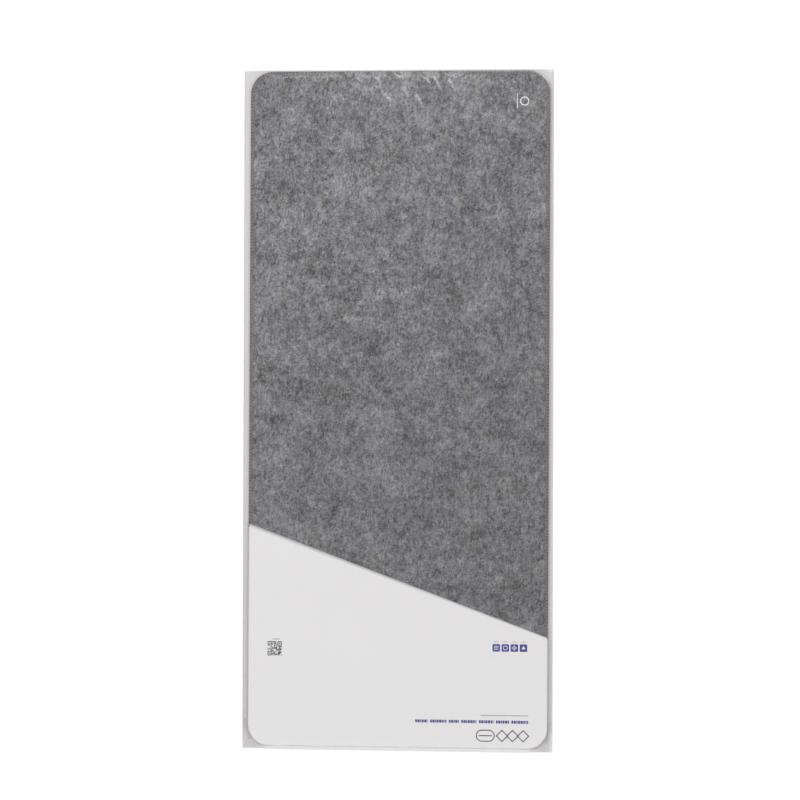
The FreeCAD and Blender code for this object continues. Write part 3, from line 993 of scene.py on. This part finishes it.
FILM_LYING = CARD_TOP + 0.09  # the front film's height over felt and card alike
WELD_Z = 0.2
SWELL_RUN = 10.0  # how far in from the mat's closed end its film starts to run down


def outside_mat(x, y):
    """Distance from the mat's outline, negative inside."""
    qx = np.abs(x - MAT_CENTRE[0]) - (MAT_HALF[0] - MAT_RADIUS)
    qy = np.abs(y - MAT_CENTRE[1]) - (MAT_HALF[1] - MAT_RADIUS)
    beyond = np.hypot(np.maximum(qx, 0), np.maximum(qy, 0))
    return beyond + np.minimum(np.maximum(qx, qy), 0) - MAT_RADIUS


def ridge(x, y, start, end, width, height):
    """A soft wrinkle from one place to another, given from the mat's centre."""
    start, end = np.array(on_mat(*start)), np.array(on_mat(*end))
    along = end - start
    length = np.hypot(*along)
    along = along / length
    u = (x - start[0]) * along[0] + (y - start[1]) * along[1]
    v = (y - start[1]) * along[0] - (x - start[0]) * along[1]
    body = smoothstep(-0.1 * length, 0.15 * length, u)
    body = body * (1 - smoothstep(0.45 * length, 1.05 * length, u))
    return height * body * np.exp(-((v / width) ** 2))


# wrinkles at the closed end, from the mat's centre: start, end, half width and height
END_WRINKLES = (
    ((-453, -43), (-424, -23), 4.0, 1.15),
    ((-418, -21), (-396, -8), 3.8, 0.9),
    ((-452, -13), (-434, 3), 5.4, 1.6),
    ((-452, 20), (-420, 47), 4.2, 1.2),
    ((-440, 44), (-412, 57), 3.8, 1.0),
    ((-418, 19), (-386, 35), 4.2, 1.05),
    ((-452, -77), (-436, -64), 4.0, 1.0),
    ((-452, 55), (-440, 64), 4.0, 1.05),
    ((-400, -152), (-376, -139), 3.6, 0.75),
    ((-431, -31), (-404, -17), 3.6, 0.85),
    ((-446, -62), (-426, -50), 3.6, 0.8),
    ((-426, 2), (-399, 17), 3.8, 0.8),
    ((-437, 62), (-414, 75), 3.6, 0.8),
)


def corner_crinkles(x, y):
    """Short random creases gathered at the bag's four corners."""
    source = np.random.default_rng(31)
    total = np.zeros_like(x)
    corners = ((452, -200, 14), (452, 200, 16), (-450, -202, 5), (-450, 202, 5))
    for corner_x, corner_y, count in corners:
        for _ in range(count):
            sx = corner_x - np.sign(corner_x) * abs(source.normal(0, 8))
            sy = corner_y - np.sign(corner_y) * abs(source.normal(0, 9))
            angle = source.uniform(0, math.pi)
            reach = source.uniform(5, 18)
            end = (sx + reach * math.cos(angle), sy + reach * math.sin(angle))
            total += ridge(x, y, (sx, sy), end, source.uniform(1.6, 3.0), source.uniform(-0.7, 1.0))
    return total


def mouth_ripples(x, y):
    """Waves in the loose film past the mat's front end."""
    near_mouth = smoothstep(-9.0, 1.0, x - MAT_FRONT_X)
    wave = smooth_noise(x * 0.4, y, 13.0, 41) + 0.6 * smooth_noise(x * 0.5, y, 6.0, 42)
    return 0.05 * near_mouth * wave


def end_swell(x, y):
    """The film stands a little off the felt at the closed end, and runs down to the mat's edge."""
    from_end = x - MAT_CLOSED_X
    y_mat = y - MAT_CENTRE[1]
    loose = smoothstep(-192, -170, y_mat) * (1 - smoothstep(72, 92, y_mat))
    amount = loose * (0.75 + 0.25 * smooth_noise(y, 0 * y, 17.0, 44))
    run = np.clip(1 - from_end / SWELL_RUN, 0, 1) ** 1.6
    fade = 1 - smoothstep(SWELL_RUN, 70.0, from_end)
    return amount * (1.2 * fade - 2.2 * run)


def film_height(x, y):
    """The front film's height: on the mat and card, creased, and down to the bag's edges."""
    beyond = np.maximum(outside_mat(x, y), 0)
    to_side = np.minimum(y - skewed(x, BAG_NEAR_Y), skewed(x, BAG_FAR_Y) - y)
    to_end = np.minimum(x - BAG_CLOSED_X, CREASE_X - x)
    to_edge = np.maximum(np.minimum(to_side, to_end), 0)
    fall = beyond / (beyond + to_edge + 1e-6)
    loose = 0.10 * smooth_noise(x, y, 55.0, 51) + 0.06 * smooth_noise(x, y, 21.0, 52)
    lying = FILM_LYING + np.abs(loose) + end_swell(x, y)
    shoulder = smoothstep(-3.0, 0.0, outside_mat(x, y)) * 0.12
    creases = corner_crinkles(x, y) + mouth_ripples(x, y)
    for start, end, width, height in END_WRINKLES:
        creases = creases + ridge(x, y, start, end, width, height)
    inside = fall <= 0
    lying = lying + np.where(inside, np.maximum(creases, -0.02), creases) - shoulder
    at_mouth = smoothstep(-2.0, 2.0, x - MAT_FRONT_X)
    at_mouth = at_mouth * smoothstep(0.0, 22.0, MAT_HALF[1] - 14.0 - np.abs(y - MAT_CENTRE[1]))
    drop = (1 - fall) ** 1.15 * (1 - at_mouth) + (1 - fall**3) * at_mouth
    held = smoothstep(0.0, 1.0, np.minimum(to_edge / 2.0, 1.0))
    edge_ripple = 0.10 * smooth_noise(x, y, 9.0, 53) * np.minimum(fall * 3, 1) * held
    return lying * drop + WELD_Z * (1 - drop) + edge_ripple


def make_front_film():
    """The upper film: over felt and card, down to the welds, the fold and the crease."""
    stretches = (
        np.arange(BAG_NEAR_Y, BAG_NEAR_Y + 13.0, 1.1),
        np.linspace(BAG_NEAR_Y + 14.5, -93.0, 44),
        np.arange(-92.0, 80.0, 0.8),
        np.linspace(81.0, BAG_FAR_Y - 14.5, 48),
        np.arange(BAG_FAR_Y, BAG_FAR_Y - 13.0, -1.1)[::-1],
    )
    lines_y = np.concatenate(stretches)
    end_steps = np.array([0.0, 0.5, 1.1, 1.8, 2.7])
    wrinkled = np.arange(3.5, 70.0, 0.8)
    smooth = np.linspace(71.5, CREASE_X - BAG_CLOSED_X - 36.0, 120)
    crinkled = np.arange(34.5, 13.0, -1.7)
    mouth_steps = 12.0 * np.linspace(1, 0, 16) ** 1.25
    from_closed = BAG_CLOSED_X + np.concatenate((end_steps, wrinkled, smooth))
    lines_x = np.concatenate((from_closed, CREASE_X - crinkled, CREASE_X - mouth_steps))
    x, y = np.meshgrid(lines_x, lines_y, indexing="ij")
    y = skewed(x, y)
    z = film_height(x, y)
    z[-1, :] = CREASE_Z
    z[-2, :] = np.maximum(z[-2, :], CREASE_Z + 0.15)
    film = make_object("bag_front_sheet", grid_points(x, y, z), grid_faces(*x.shape))
    film.data.materials.append(
        film_material("clear_film_front", 0.035, (0.965, 0.957, 0.958), 0.13, cloudy=True)
    )
    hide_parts("bag_front_film", "bag_end_fold", "bag_mouth_film")
    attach(film, "bag")


def make_back_film():
    """The lower film, flat on the desk, stepped up over the folded lip."""
    step_x = CREASE_X - POCKET_LENGTH
    flat = np.linspace(BAG_CLOSED_X, step_x, 180)
    roof = np.linspace(step_x + 5.0, CREASE_X - 0.3, 9)
    lines_x = np.concatenate((flat, [step_x + 0.3, step_x + 0.8], roof))
    lifts = np.concatenate((np.zeros(180), [0.6, 1.0], np.ones(9)))
    lines_y = np.linspace(BAG_NEAR_Y, BAG_FAR_Y, 84)
    x, y = np.meshgrid(lines_x, lines_y, indexing="ij")
    inside = smoothstep(0.0, 2.5, np.minimum(y - BAG_NEAR_Y, BAG_FAR_Y - y))
    z = 0.05 + 0.2 * lifts[:, None] * inside + 0.02 * np.abs(smooth_noise(x, y, 30.0, 61))
    points = grid_points(x, skewed(x, y), z)
    film = make_object("bag_back_sheet", points, grid_faces(*x.shape, flip=True))
    # the lower film's tint, greyer than the upper film's, is a slight real tint and painted shade:
    # it darkens the desk seen through the bag's margins
    film.data.materials.append(film_material("clear_film_back", 0.035, (0.865, 0.86, 0.86), 0.07))
    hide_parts("bag_back_film")
    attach(film, "bag")


def make_lip():
    """The lip: from the crease, folded under and flat against the desk."""
    half = (BAG_FAR_Y - BAG_NEAR_Y) / 2 - 1.0
    across = np.linspace(-half, half, 84)
    fold = [(0.0, -0.02), (-0.01, -0.07), (-0.05, -0.12), (-0.15, -0.15)]
    flat = [(-d, -0.15) for d in np.linspace(1.0, LIP_LENGTH, 22)]
    profile = np.array(fold + flat)
    points = []
    for back, rise in profile:
        x = np.full(len(across), CREASE_X + back)
        wave = 0.03 * np.abs(smooth_noise(x, across, 18.0, 71)) if back < -1 else 0.0
        height = np.full(len(across), CREASE_Z + rise) + wave
        points.append(np.column_stack((x, skewed(CREASE_X, across), height)))
    faces = grid_faces(len(profile), len(across))
    lip = make_object("bag_lip_sheet", np.concatenate(points), faces)
    lip.data.materials.append(film_material("clear_film_lip", 0.035, (0.965, 0.96, 0.96), 0.07))
    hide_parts("bag_lip")
    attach(lip, "lip")


def make_welds():
    """The melted bead along each long side of the bag."""
    for name, node, edge, side in (
        ("near_weld_bead", "bag_near_seam", BAG_NEAR_Y, 1),
        ("far_weld_bead", "bag_far_seam", BAG_FAR_Y, -1),
    ):
        x = np.linspace(BAG_CLOSED_X + 0.2, CREASE_X - 0.4, 420)
        wander = 0.12 * smooth_noise(x, np.zeros_like(x), 8.0, 81)
        y = edge + side * (0.75 + wander)
        path = np.column_stack((x, skewed(x, y), np.full_like(x, WELD_Z)))
        points, faces = tube(path, 0.5 + 0.1 * smooth_noise(x, y, 3.0, 82), 8, closed=False)
        points[:, 2] = WELD_Z + (points[:, 2] - WELD_Z) * 0.28
        bead = make_object(name, points, faces)
        bead.data.materials.append(film_material(f"{name}_film", 0.45, (0.97, 0.955, 0.955), 0.2))
        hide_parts(node)
        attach(bead, "bag")


def make_adhesive():
    """The clear tacky strip on the lip, one thin layer."""
    low, high = cad("adhesive_strip")
    lines_x, lines_y = np.linspace(low[0], high[0], 12), np.linspace(low[1], high[1], 84)
    x, y = np.meshgrid(lines_x, lines_y, indexing="ij")
    z = (low[2] + high[2]) / 2 + 0.015 * smooth_noise(x, y, 12.0, 91)
    points = grid_points(x, skewed(CREASE_X, y), z)
    strip = make_object("tacky_strip_sheet", points, grid_faces(*x.shape))
    strip.data.materials.append(film_material("tacky_strip", 0.08, (0.975, 0.97, 0.955), 0.2))
    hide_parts("adhesive_strip")
    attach(strip, "lip")


def dress_kept_nodes():
    """CAD nodes whose own shape is right get their finished materials."""
    for node, material in (("bonding_film", bond_material()), ("corner_mark", mark_material())):
        obj = frame["nodes"][node]
        obj.data.materials.clear()
        obj.data.materials.append(material)


# ---- the studio ----


def make_floor():
    """A plain floor, a hair below the bag."""
    half = 6000.0
    lines = np.linspace(-half, half, 9)
    x, y = np.meshgrid(lines, lines, indexing="ij")
    points = grid_points(x, y, np.full(x.size, -0.25))
    floor = make_object("studio_floor", points, grid_faces(*x.shape))
    floor.data.materials.append(floor_material())


def area_light(name, place, target, size, power, mirrored=False):
    """A softbox; only the mirrored ones show as highlights in the film."""
    data = bpy.data.lights.new(name, "AREA")
    data.shape = "RECTANGLE"
    data.size, data.size_y = size
    data.energy = power
    light = bpy.data.objects.new(name, data)
    light.location = place
    light.rotation_euler = (Vector(target) - Vector(place)).to_track_quat("-Z", "Y").to_euler()
    light.visible_glossy = mirrored
    bpy.context.scene.collection.objects.link(light)


def make_lights():
    """A pale room and five softboxes; two of them give the film its highlights."""
    world = bpy.data.worlds.new("studio_world")
    world.use_nodes = True
    background = world.node_tree.nodes["Background"]
    background.inputs["Color"].default_value = (1.0, 1.0, 1.0, 1.0)
    background.inputs["Strength"].default_value = 0.33
    bpy.context.scene.world = world
    area_light("key_softbox", (-1.0, -1.9, 2.1), (0, 0, 0), (1.5, 1.5), 54.0)
    area_light("fill_softbox", (1.3, 1.9, 2.2), (0, 0, 0), (1.8, 1.8), 32.5)
    area_light("mouth_softbox", (2.3, 0.2, 1.7), (0.3, 0, 0), (1.2, 1.2), 18.0)
    area_light("end_softbox", (-1.9, 0.1, 2.0), (-0.4, 0, 0), (0.9, 1.8), 14.5, True)
    area_light("streak_softbox", (-1.40, 0.78, 2.2), (-0.4, 0, 0), (0.7, 0.7), 8.2, True)


def make_camera():
    """Above the mat, its length upright and its card at the bottom, turned a little off square."""
    data = bpy.data.cameras.new("camera")
    data.lens = 85.0
    data.sensor_width = 36.0
    straight_down = Matrix(((0, -1, 0), (1, 0, 0), (0, 0, 1)))
    roll = Matrix.Rotation(math.radians(0.292), 3, "Z")
    yaw = Matrix.Rotation(math.radians(3.339), 3, "Y")
    pitch = Matrix.Rotation(math.radians(0.351), 3, "X")
    turn = straight_down @ roll @ yaw @ pitch
    aim = Vector((MAT_CENTRE[0] - 11.59, MAT_CENTRE[1] + 2.06, FELT_TOP)) * MM
    camera = bpy.data.objects.new("camera", data)
    distance = 2.5127
    camera.matrix_world = Matrix.Translation(aim + turn.col[2] * distance) @ turn.to_4x4()
    bpy.context.scene.collection.objects.link(camera)
    bpy.context.scene.camera = camera
    bpy.context.scene.view_settings.view_transform = "Standard"


# ---- build ----

make_camera()
make_lights()
make_floor()
make_felt()
make_loose_fibres()
make_rubber()
make_stitching()
make_card()
make_print()
make_front_film()
make_back_film()
make_lip()
make_adhesive()
make_welds()
dress_kept_nodes()
